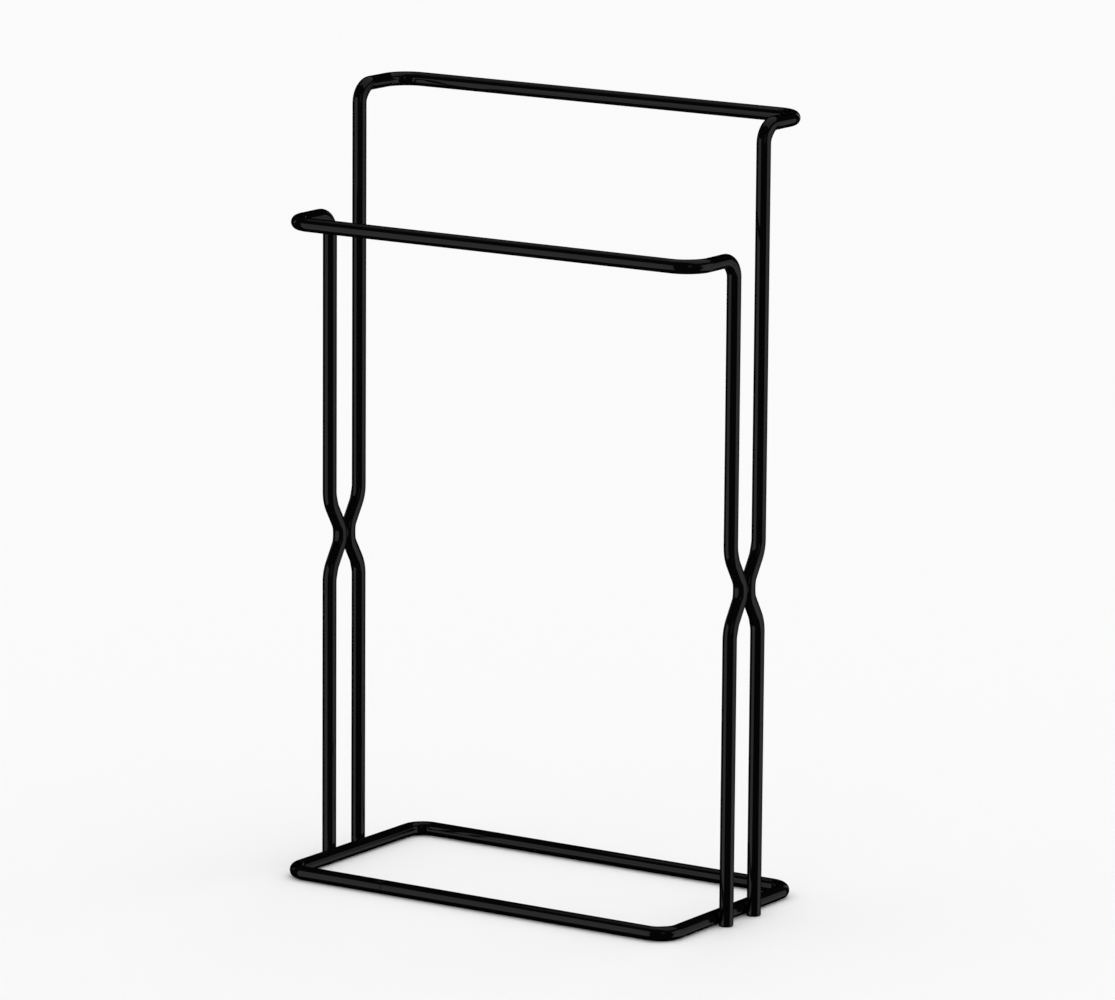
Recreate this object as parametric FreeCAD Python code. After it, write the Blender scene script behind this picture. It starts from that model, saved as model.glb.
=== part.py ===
import FreeCAD, Part

import math
import os

Vector = FreeCAD.Vector

# Countertop towel stand of bent round wire, in millimetres.
# +X is to the right, +Y to the back and +Z up.
# The origin is on the table, under the middle of the base ring.

# Wire
wire_diameter = 6.3

# Base ring: outside sizes, and its corner bends on the wire's centre line
base_width = 206.0
base_depth = 107.7
base_corner_radius = 8.8

# Hoops: heights to the top of each bar, and bends on the wire's centre line
front_bar_top = 297.0
rear_bar_top = 352.0
bar_spread = 86.6
upright_spacing = 22.6
knee_radius = 8.1
bar_corner_radius = 11.4
end_chamfer = 0.7

# Waist, where the front and rear uprights of one side bow in and touch
waist_height = 147.7
waist_angle_degrees = 32.0
waist_touch_radius = 9.8
waist_return_radius = 15.0

# Welds: how far two wires are pressed into each other, and the closing weld in the ring's front rail
weld_set_down = 0.4
butt_weld_length = 0.8
butt_weld_offset = 48.0

# Welds between wires, as shares of the wire's radius, and of the waist's flat contact
foot_weld_share = 0.76
waist_weld_width_share = 0.60
waist_weld_height_share = 1.5

# How far a tool or a trimmed piece runs past the face that cuts it
cut_overrun = 0.3

# Places that follow from the sizes above
wire_radius = wire_diameter / 2
rail_x = base_width / 2 - wire_radius
rail_y = base_depth / 2 - wire_radius
welded_spacing = wire_diameter - weld_set_down
upright_x = rail_x + welded_spacing
upright_y = upright_spacing / 2
bar_y = bar_spread / 2
SIDES = {"left": -1, "right": 1}
ENDS = {"front": -1, "rear": 1}


def bent_path(points, radii):
    """Straight runs through the points, with a tangent arc of the given radius at each inner point."""
    edges = []
    start = points[0]
    for before, corner, after, radius in zip(points, points[1:], points[2:], radii):
        incoming = (corner - before).normalize()
        outgoing = (after - corner).normalize()
        half_turn = incoming.getAngle(outgoing) / 2
        run_out = radius * math.tan(half_turn)
        inward = (outgoing - incoming).normalize()
        arc_start = corner - incoming * run_out
        arc_middle = corner + inward * (radius / math.cos(half_turn) - radius)
        arc_end = corner + outgoing * run_out
        edges.append(Part.LineSegment(start, arc_start).toShape())
        edges.append(Part.Arc(arc_start, arc_middle, arc_end).toShape())
        start = arc_end
    edges.append(Part.LineSegment(start, points[-1]).toShape())
    return Part.Wire(edges)


def bent_wire(points, radii):
    """Round wire along a bent path, with its ends cut square."""
    section = Part.Wire(Part.makeCircle(wire_radius, points[0], points[1] - points[0]))
    return bent_path(points, radii).makePipeShell([section], True, False)


def sagitta(radius, half_chord):
    """How far a circle falls away from its tangent at half a chord from the point of touch."""
    return radius - math.sqrt(radius ** 2 - half_chord ** 2)


def make_base_ring():
    """The ring's wire, from one side of the closing weld round to its other side."""
    weld_right = -butt_weld_offset + butt_weld_length / 2
    weld_left = -butt_weld_offset - butt_weld_length / 2
    points = [
        Vector(weld_right, -rail_y, wire_radius),
        Vector(rail_x, -rail_y, wire_radius),
        Vector(rail_x, rail_y, wire_radius),
        Vector(-rail_x, rail_y, wire_radius),
        Vector(-rail_x, -rail_y, wire_radius),
        Vector(weld_left, -rail_y, wire_radius),
    ]
    return bent_wire(points, [base_corner_radius] * 4)


def make_base_butt_weld():
    """The ring's closing weld, ground flush with the wire."""
    foot = Vector(-butt_weld_offset - butt_weld_length / 2, -rail_y, wire_radius)
    return Part.makeCylinder(wire_radius, butt_weld_length, foot, Vector(1, 0, 0))


def upright_points(side, end, bar_height):
    """Corner points of one upright and its arm, from the table up to the bar's corner."""
    slope = math.radians(waist_angle_degrees)
    touch_y = welded_spacing / 2 - waist_touch_radius * (1 / math.cos(slope) - 1)
    waist_reach = (upright_y - touch_y) / math.tan(slope)
    x = side * upright_x
    return [
        Vector(x, end * upright_y, 0),
        Vector(x, end * upright_y, waist_height - waist_reach),
        Vector(x, end * touch_y, waist_height),
        Vector(x, end * upright_y, waist_height + waist_reach),
        Vector(x, end * upright_y, bar_height),
        Vector(x, end * bar_y, bar_height),
    ]


def make_hoop(end, bar_top, base_ring):
    """One wire: upright, waist, knee, arm, bar, and the same back down, seated at ring and waist."""
    bar_height = bar_top - wire_radius
    left = upright_points(SIDES["left"], end, bar_height)
    right = upright_points(SIDES["right"], end, bar_height)
    radii = [waist_return_radius, waist_touch_radius, waist_return_radius, knee_radius, bar_corner_radius]
    hoop = bent_wire(left + right[::-1], radii + radii[::-1])
    cut_ends = sorted(hoop.Edges, key=lambda edge: edge.BoundBox.ZMax)[:2]
    hoop = hoop.makeChamfer(end_chamfer, cut_ends)
    beyond_middle = Part.makeBox(
        2 * upright_x + 2 * wire_diameter,
        wire_diameter,
        2 * wire_diameter,
        Vector(-upright_x - wire_diameter, min(0, -end * wire_diameter), waist_height - wire_diameter),
    )
    return hoop.cut(beyond_middle).cut(base_ring)


def make_foot_weld(side, end, base_ring, hoop):
    """Neck of weld metal round the place where an upright is pressed against a side rail."""
    neck_radius = foot_weld_share * wire_radius
    half_length = sagitta(wire_radius, neck_radius) + cut_overrun
    inner_end = Vector(side * (rail_x + welded_spacing / 2) - half_length, end * upright_y, wire_radius)
    neck = Part.makeCylinder(neck_radius, 2 * half_length, inner_end, Vector(1, 0, 0))
    return neck.cut(base_ring).cut(hoop)


def make_waist_weld(side, front_hoop, rear_hoop):
    """Oval of weld metal round the flat contact of the two uprights at the waist."""
    half_width = waist_weld_width_share * wire_radius
    bend_outside = waist_touch_radius + wire_radius
    contact_half_height = math.sqrt(bend_outside ** 2 - (bend_outside - weld_set_down / 2) ** 2)
    half_height = waist_weld_height_share * contact_half_height
    half_depth = sagitta(wire_radius, half_width) + cut_overrun
    centre = Vector(side * upright_x, -half_depth, waist_height)
    top = centre + Vector(0, 0, half_height)
    beside = centre + Vector(half_width, 0, 0)
    rim = Part.Wire(Part.Ellipse(top, beside, centre).toShape())
    oval = Part.Face(rim).extrude(Vector(0, 2 * half_depth, 0))
    return oval.cut(front_hoop).cut(rear_hoop)


def make_pieces():
    """All pieces of the stand, by name."""
    base_ring = make_base_ring()
    bar_tops = {"front": front_bar_top, "rear": rear_bar_top}
    hoops = {name: make_hoop(end, bar_tops[name], base_ring) for name, end in ENDS.items()}
    pieces = {"base_ring": base_ring, "base_butt_weld": make_base_butt_weld()}
    for name, hoop in hoops.items():
        pieces[name + "_hoop"] = hoop
    for side_name, side in SIDES.items():
        pieces["waist_weld_" + side_name] = make_waist_weld(side, hoops["front"], hoops["rear"])
        for end_name, end in ENDS.items():
            weld = make_foot_weld(side, end, base_ring, hoops[end_name])
            pieces["foot_weld_" + end_name + "_" + side_name] = weld
    return pieces


os.makedirs("parts", exist_ok=True)
for name, shape in make_pieces().items():
    shape.exportStep("parts/" + name + ".step")
    state = "valid" if shape.isValid() else "invalid"
    print(name, state, len(shape.Solids), "solid", round(shape.Volume, 2))
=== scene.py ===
"""Countertop towel stand of bent round wire in gloss black paint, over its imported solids. Metres, +Z up."""
import math

import bmesh
import bpy
from mathutils import Matrix, Vector


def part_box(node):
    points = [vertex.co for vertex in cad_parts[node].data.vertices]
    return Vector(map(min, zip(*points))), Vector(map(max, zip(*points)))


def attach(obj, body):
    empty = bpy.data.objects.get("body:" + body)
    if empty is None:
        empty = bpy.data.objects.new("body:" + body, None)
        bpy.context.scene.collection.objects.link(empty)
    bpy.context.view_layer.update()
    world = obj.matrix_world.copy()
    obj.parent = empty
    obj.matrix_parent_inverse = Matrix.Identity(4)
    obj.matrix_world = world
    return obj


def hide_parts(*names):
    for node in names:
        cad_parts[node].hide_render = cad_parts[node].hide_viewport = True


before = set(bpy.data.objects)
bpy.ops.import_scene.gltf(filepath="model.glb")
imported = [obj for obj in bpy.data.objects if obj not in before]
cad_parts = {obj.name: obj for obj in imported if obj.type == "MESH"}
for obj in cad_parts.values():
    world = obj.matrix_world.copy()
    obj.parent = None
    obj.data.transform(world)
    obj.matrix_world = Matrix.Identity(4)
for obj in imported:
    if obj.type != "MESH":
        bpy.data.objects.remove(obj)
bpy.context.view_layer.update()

SIDES = {"left": -1, "right": 1}
ENDS = {"front": -1, "rear": 1}
X_AXIS = Vector((1, 0, 0))
Y_AXIS = Vector((0, 1, 0))
Z_AXIS = Vector((0, 0, 1))


def middle_and_half(node):
    """The middle of a solid's box, and half of its sizes."""
    low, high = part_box(node)
    return (low + high) / 2, (high - low) / 2


# Wires and their places, read from the solids
ring_half = middle_and_half("base_ring")[1]
hoop_low, hoop_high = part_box("front_hoop")
foot_middle, foot_half = middle_and_half("foot_weld_rear_right")
waist_middle, waist_half = middle_and_half("waist_weld_right")
seam_middle, seam_half = middle_and_half("base_butt_weld")
wire_radius = ring_half.z
rail_x = ring_half.x - wire_radius
rail_y = ring_half.y - wire_radius
upright_x = hoop_high.x - wire_radius
upright_y = foot_middle.y
bar_y = -hoop_low.y - wire_radius
bar_heights = {end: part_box(end + "_hoop")[1].z - wire_radius for end in ENDS}
waist_height = waist_middle.z
welded_spacing = upright_x - rail_x

# Bends on the wires' centre lines, how far bending flattens their inside, and the rounding of cut ends
base_corner_radius = 0.0088
knee_radius = 0.0081
bar_corner_radius = 0.0114
waist_angle = math.radians(32.0)
waist_touch_radius = 0.0098
waist_return_radius = 0.0150
bend_flattening = 0.8
end_rounding = 0.0008
seam_rounding = 0.00016

# Welds: how far they reach into the wires, shares of the solids' half sizes, and waves round their edge
foot_weld_reach = 0.0021
waist_weld_reach = 0.0013
weld_neck_share = 0.97
weld_flare_share = 1.15
weld_wave_shares = {3: 0.012, 5: 0.009}

# Fineness of the meshes
wire_sides = 56
run_step = 0.010
bend_step = math.radians(3.0)
rounding_steps = 6
weld_sides = 72
weld_steps = 20

# Gloss black stove paint: its blackness, and its drift and orange peel in waves to the metre
paint_black = 0.0018
paint_drift_shares = (0.85, 1.15)
paint_drift_scale = 60.0
paint_ior = 1.5
wire_roughness = (0.05, 0.09)
wire_peel_scale = 800.0
wire_peel_height = 3e-6
weld_roughness = (0.07, 0.12)
weld_peel_scale = 1400.0
weld_peel_height = 8e-6

# Camera: from the right and a little above, in a frame 1115 pixels wide, with its focal length in pixels
image_width = 1115
focal_length = 7150.0
camera_azimuth = math.radians(33.448)
camera_elevation = math.radians(11.168)
camera_roll = math.radians(0.428)
camera_distance = 3.1375
camera_aim = Vector((0.0087, 0, 0.1759))

# Studio: matt floor, even light, and a soft key light from above the back
floor_size = 60.0
floor_tone = 0.96
floor_roughness = 1.0
floor_gloss = 0.0
sky_strength = 0.87
key_irradiance = 0.47
key_width = math.radians(40)
key_lean = math.radians(-30)

# Softboxes: radiance, and corners as azimuth in degrees, metres from the stand's axis, and height
softboxes = {
    "front_left": (0.49, [(-55, 1, -0.56), (-5, 1, -0.56), (-5, 1, 0.60), (-55, 1, 0.60)]),
    "front_right": (0.20, [(42, 2, 0.30), (54, 2, 0.30), (54, 2, 1.40), (42, 2, 1.40)]),
    "right_edge": (0.30, [(84, 2, 0.15), (92, 2, 0.15), (92, 2, 1.08), (84, 2, 1.08)]),
    "right": (0.51, [(92, 2, -1.90), (123, 2, -1.90), (123, 2, 1.08), (92, 2, 1.08)]),
    "right_fade": (0.38, [(123, 2, -1.90), (136, 2, -1.82), (136, 2, 0.90), (123, 2, 1.08)]),
    "right_rear": (0.27, [(136, 2, -1.82), (165, 2, -1.45), (148, 2, 0.52), (136, 2, 0.90)]),
    "left_side": (0.30, [(-94, 2, 0.22), (-86, 2, 0.22), (-86, 2, 0.96), (-94, 2, 0.96)]),
    "back": (0.35, [(175, 2, 0.15), (185, 2, 0.15), (185, 2, 1.08), (175, 2, 1.08)]),
    "overhead": (0.32, [(-66, 0.36, 1.0), (78, 0.72, 1.0), (137, 1.03, 1.0), (-156, 0.82, 1.0)]),
    "overhead_left": (0.15, [(-76, 0.62, 1.0), (-66, 0.36, 1.0), (-156, 0.82, 1.0), (-138, 1.0, 1.0)]),
}


def bent_path(points, radii):
    """Places, directions and curls along straight runs and tangent arcs.

    A curl points to the centre of a bend, is longer in a tighter bend, and fades at the arc's ends.
    """
    stations = []

    def add_run(start, end):
        steps = math.ceil((end - start).length / run_step)
        direction = (end - start).normalized()
        for step in range(steps):
            stations.append((start.lerp(end, step / steps), direction, Vector()))

    start = points[0]
    for before, corner, after, radius in zip(points, points[1:], points[2:], radii):
        incoming = (corner - before).normalized()
        outgoing = (after - corner).normalized()
        turn = incoming.angle(outgoing)
        inward = (outgoing - incoming * math.cos(turn)).normalized()
        run_out = radius * math.tan(turn / 2)
        arc_start = corner - incoming * run_out
        add_run(start, arc_start)
        steps = math.ceil(turn / bend_step)
        for step in range(steps):
            angle = turn * step / steps
            offset = incoming * math.sin(angle) + inward * (1 - math.cos(angle))
            direction = incoming * math.cos(angle) + inward * math.sin(angle)
            to_centre = inward * math.cos(angle) - incoming * math.sin(angle)
            curl = to_centre * math.sin(math.pi * step / steps) ** 2 / radius
            stations.append((arc_start + offset * radius, direction, curl))
        start = corner + outgoing * run_out
    add_run(start, points[-1])
    stations.append((points[-1], (points[-1] - points[-2]).normalized(), Vector()))
    return stations


def rounded_wire(path, rounding):
    """A wire's stations: place, direction, curl and radius. Both ends curve in to a flat cut."""
    def rounded_end(place, direction, inward):
        rings = []
        for step in range(rounding_steps + 1):
            angle = math.pi / 2 * step / rounding_steps
            depth = rounding * (1 - math.cos(angle))
            narrowing = rounding * (1 - math.sin(angle))
            rings.append((place + inward * depth, direction, Vector(), wire_radius - narrowing))
        return rings

    first_place, first_direction = path[0][:2]
    last_place, last_direction = path[-1][:2]
    start = rounded_end(first_place, first_direction, first_direction)
    finish = rounded_end(last_place, last_direction, -last_direction)
    between = [(*station, wire_radius) for station in path[1:-1]]
    return start + between + finish[::-1]


def wire_rings(stations, fit=None):
    """Rings of points round a wire's stations, turned as little as possible and flattened inside bends."""
    side = stations[0][1].orthogonal().normalized()
    rings = []
    for place, direction, curl, radius in stations:
        side = (side - direction * side.dot(direction)).normalized()
        beside = direction.cross(side)
        to_centre = curl.normalized()
        across = direction.cross(to_centre)
        flattening = bend_flattening * radius * curl.length
        ring = []
        for step in range(wire_sides):
            angle = 2 * math.pi * step / wire_sides
            outward = side * math.cos(angle) + beside * math.sin(angle)
            inside = max(0, outward.dot(to_centre))
            outward += across * outward.dot(across) * flattening * inside ** 2
            point = place + outward * radius
            ring.append(fit(point) if fit else point)
        rings.append(ring)
    return rings


def weld_rings(centre, axis, across, reach, half_across, half_beside):
    """Rings of points along an uneven bead of weld metal, narrow between its buried ends."""
    beside = axis.cross(across)
    phase = (centre.x + centre.y) / wire_radius
    rings = []
    for row in range(weld_steps + 1):
        along = 2 * row / weld_steps - 1
        width_share = weld_neck_share + (weld_flare_share - weld_neck_share) * along ** 2
        ring = []
        for step in range(weld_sides):
            angle = 2 * math.pi * step / weld_sides
            wave = sum(share * math.sin(count * angle + phase) for count, share in weld_wave_shares.items())
            radial = across * half_across * math.cos(angle) + beside * half_beside * math.sin(angle)
            ring.append(centre + axis * reach * along + radial * width_share * (1 + wave))
        rings.append(ring)
    return rings


def closed_tube(name, rings):
    """A smooth closed mesh over rings of points, with a fan over each end."""
    mesh = bmesh.new()
    loops = [[mesh.verts.new(point) for point in ring] for ring in rings]
    count = len(loops[0])
    for near, far in zip(loops, loops[1:]):
        for index in range(count):
            following = (index + 1) % count
            mesh.faces.new((near[index], near[following], far[following], far[index]))
    for loop in (loops[0][::-1], loops[-1]):
        centre = mesh.verts.new(sum((vert.co for vert in loop), Vector()) / count)
        for index in range(count):
            mesh.faces.new((centre, loop[index], loop[(index + 1) % count]))
    for face in mesh.faces:
        face.smooth = True
    data = bpy.data.meshes.new(name)
    mesh.to_mesh(data)
    mesh.free()
    piece = bpy.data.objects.new(name, data)
    bpy.context.scene.collection.objects.link(piece)
    return piece


def dress(node, rings, material):
    """A painted piece that stands for a solid and moves with it."""
    piece = closed_tube("painted_" + node, rings)
    piece.data.materials.append(material)
    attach(piece, "root")
    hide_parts(node)


def make_base_ring(material):
    """The ring, from one side of its closing weld round to the other."""
    points = [
        Vector((seam_middle.x + seam_half.x, -rail_y, wire_radius)),
        Vector((rail_x, -rail_y, wire_radius)),
        Vector((rail_x, rail_y, wire_radius)),
        Vector((-rail_x, rail_y, wire_radius)),
        Vector((-rail_x, -rail_y, wire_radius)),
        Vector((seam_middle.x - seam_half.x, -rail_y, wire_radius)),
    ]
    stations = rounded_wire(bent_path(points, [base_corner_radius] * 4), seam_rounding)
    dress("base_ring", wire_rings(stations), material)


def make_butt_weld(material):
    """The closing weld, ground flush, with a hairline on either side of it."""
    ends = [seam_middle - X_AXIS * seam_half.x, seam_middle + X_AXIS * seam_half.x]
    stations = rounded_wire(bent_path(ends, []), seam_rounding)
    dress("base_butt_weld", wire_rings(stations), material)


def upright_points(side, end):
    """Corner points of one upright and its arm, from the floor up to the bar's corner."""
    touch_y = welded_spacing / 2 - waist_touch_radius * (1 / math.cos(waist_angle) - 1)
    waist_reach = (upright_y - touch_y) / math.tan(waist_angle)
    x = SIDES[side] * upright_x
    y = ENDS[end] * upright_y
    return [
        Vector((x, y, 0)),
        Vector((x, y, waist_height - waist_reach)),
        Vector((x, ENDS[end] * touch_y, waist_height)),
        Vector((x, y, waist_height + waist_reach)),
        Vector((x, y, bar_heights[end])),
        Vector((x, ENDS[end] * bar_y, bar_heights[end])),
    ]


def make_hoop(end, material):
    """One wire: upright, waist, knee, arm, bar, and the same back down."""
    def seated(point):
        """Flat against the other hoop at the waist, and hollowed where it is pressed on a side rail."""
        point.y = ENDS[end] * max(0, ENDS[end] * point.y)
        rail = Vector((math.copysign(rail_x, point.x), point.y, wire_radius))
        from_rail = point - rail
        if from_rail.length < wire_radius:
            return rail + from_rail.normalized() * wire_radius
        return point

    radii = [waist_return_radius, waist_touch_radius, waist_return_radius, knee_radius, bar_corner_radius]
    points = upright_points("left", end) + upright_points("right", end)[::-1]
    stations = rounded_wire(bent_path(points, radii + radii[::-1]), end_rounding)
    dress(end + "_hoop", wire_rings(stations, seated), material)


def make_foot_weld(side, end, material):
    """Neck of weld metal between an upright's foot and the side rail."""
    centre = Vector((SIDES[side] * (rail_x + upright_x) / 2, ENDS[end] * upright_y, wire_radius))
    rings = weld_rings(centre, X_AXIS, Y_AXIS, foot_weld_reach, foot_half.y, foot_half.z)
    dress("foot_weld_" + end + "_" + side, rings, material)


def make_waist_weld(side, material):
    """Oval of weld metal between the two uprights of one side."""
    centre = Vector((SIDES[side] * upright_x, 0, waist_height))
    rings = weld_rings(centre, Y_AXIS, Z_AXIS, waist_weld_reach, waist_half.z, waist_half.x)
    dress("waist_weld_" + side, rings, material)


def gloss_paint(name, roughness, peel_scale, peel_height):
    """Black paint with a faint orange peel, whose roughness and blackness drift a little."""
    material = bpy.data.materials.new(name)
    material.use_nodes = True
    nodes = material.node_tree.nodes
    links = material.node_tree.links
    shader = nodes["Principled BSDF"]
    shader.inputs["IOR"].default_value = paint_ior
    place = nodes.new("ShaderNodeTexCoord")

    peel = nodes.new("ShaderNodeTexNoise")
    peel.inputs["Scale"].default_value = peel_scale
    bump = nodes.new("ShaderNodeBump")
    bump.inputs["Distance"].default_value = peel_height
    links.new(place.outputs["Object"], peel.inputs["Vector"])
    links.new(peel.outputs["Fac"], bump.inputs["Height"])
    links.new(bump.outputs["Normal"], shader.inputs["Normal"])

    drift = nodes.new("ShaderNodeTexNoise")
    drift.inputs["Scale"].default_value = paint_drift_scale
    spread = nodes.new("ShaderNodeMapRange")
    spread.inputs["To Min"].default_value = roughness[0]
    spread.inputs["To Max"].default_value = roughness[1]
    tone = nodes.new("ShaderNodeValToRGB")
    for element, share in zip(tone.color_ramp.elements, paint_drift_shares):
        black = paint_black * share
        element.color = (black, black, black, 1)
    links.new(place.outputs["Object"], drift.inputs["Vector"])
    links.new(drift.outputs["Fac"], spread.inputs["Value"])
    links.new(drift.outputs["Fac"], tone.inputs["Fac"])
    links.new(spread.outputs["Result"], shader.inputs["Roughness"])
    links.new(tone.outputs["Color"], shader.inputs["Base Color"])
    return material


def place_round(azimuth, distance, height):
    """A place round the stand's axis. Azimuth 0 is to the front, and a quarter turn is to the right."""
    return Vector((math.sin(azimuth) * distance, -math.cos(azimuth) * distance, height))


def make_camera():
    """The camera, turned by its roll about the line of sight."""
    back = place_round(camera_azimuth, math.cos(camera_elevation), math.sin(camera_elevation))
    level_right = Z_AXIS.cross(back).normalized()
    level_up = back.cross(level_right)
    right = level_right * math.cos(camera_roll) + level_up * math.sin(camera_roll)
    turned = Matrix((right, back.cross(right), back)).transposed().to_4x4()
    data = bpy.data.cameras.new("camera")
    data.sensor_fit = "HORIZONTAL"
    data.lens = focal_length / image_width * data.sensor_width
    camera = bpy.data.objects.new("camera", data)
    camera.matrix_world = Matrix.Translation(camera_aim + back * camera_distance) @ turned
    bpy.context.scene.collection.objects.link(camera)
    bpy.context.scene.camera = camera


def make_floor():
    """A plain pale floor, kept out of gloss, so that the wires mirror softboxes with dark between."""
    material = bpy.data.materials.new("floor_white")
    material.use_nodes = True
    shader = material.node_tree.nodes["Principled BSDF"]
    shader.inputs["Base Color"].default_value = (floor_tone, floor_tone, floor_tone, 1)
    shader.inputs["Roughness"].default_value = floor_roughness
    shader.inputs["Specular IOR Level"].default_value = floor_gloss
    bpy.ops.mesh.primitive_plane_add(size=floor_size)
    floor = bpy.context.object
    floor.name = "floor"
    floor.data.materials.append(material)
    floor.visible_glossy = False


def make_sky_and_key():
    """Even light from all round and a soft key light, both kept out of gloss as the floor is."""
    world = bpy.data.worlds.new("sky")
    world.use_nodes = True
    background = world.node_tree.nodes["Background"]
    background.inputs["Color"].default_value = (1, 1, 1, 1)
    background.inputs["Strength"].default_value = sky_strength
    world.cycles_visibility.glossy = False
    bpy.context.scene.world = world

    data = bpy.data.lights.new("key", "SUN")
    data.energy = key_irradiance
    data.angle = key_width
    key = bpy.data.objects.new("key", data)
    key.matrix_world = Matrix.Rotation(key_lean, 4, "X")
    key.visible_glossy = False
    bpy.context.scene.collection.objects.link(key)


def make_softbox(name, radiance, corners):
    """A softbox that shows in gloss alone."""
    material = bpy.data.materials.new("softbox_" + name)
    material.use_nodes = True
    nodes = material.node_tree.nodes
    nodes.remove(nodes["Principled BSDF"])
    glow = nodes.new("ShaderNodeEmission")
    glow.inputs["Strength"].default_value = radiance
    material.node_tree.links.new(glow.outputs["Emission"], nodes["Material Output"].inputs["Surface"])
    material.cycles.emission_sampling = "NONE"

    points = [place_round(math.radians(azimuth), distance, height) for azimuth, distance, height in corners]
    data = bpy.data.meshes.new("softbox_" + name)
    data.from_pydata(points, [], [range(len(points))])
    data.materials.append(material)
    softbox = bpy.data.objects.new("softbox_" + name, data)
    softbox.visible_camera = False
    softbox.visible_diffuse = False
    softbox.visible_shadow = False
    bpy.context.scene.collection.objects.link(softbox)


wire_paint = gloss_paint("wire_paint", wire_roughness, wire_peel_scale, wire_peel_height)
weld_paint = gloss_paint("weld_paint", weld_roughness, weld_peel_scale, weld_peel_height)
make_base_ring(wire_paint)
make_butt_weld(weld_paint)
for end in ENDS:
    make_hoop(end, wire_paint)
for side in SIDES:
    make_waist_weld(side, weld_paint)
    for end in ENDS:
        make_foot_weld(side, end, weld_paint)

make_camera()
make_floor()
make_sky_and_key()
for name, (radiance, corners) in softboxes.items():
    make_softbox(name, radiance, corners)
bpy.context.scene.view_settings.view_transform = "Standard"
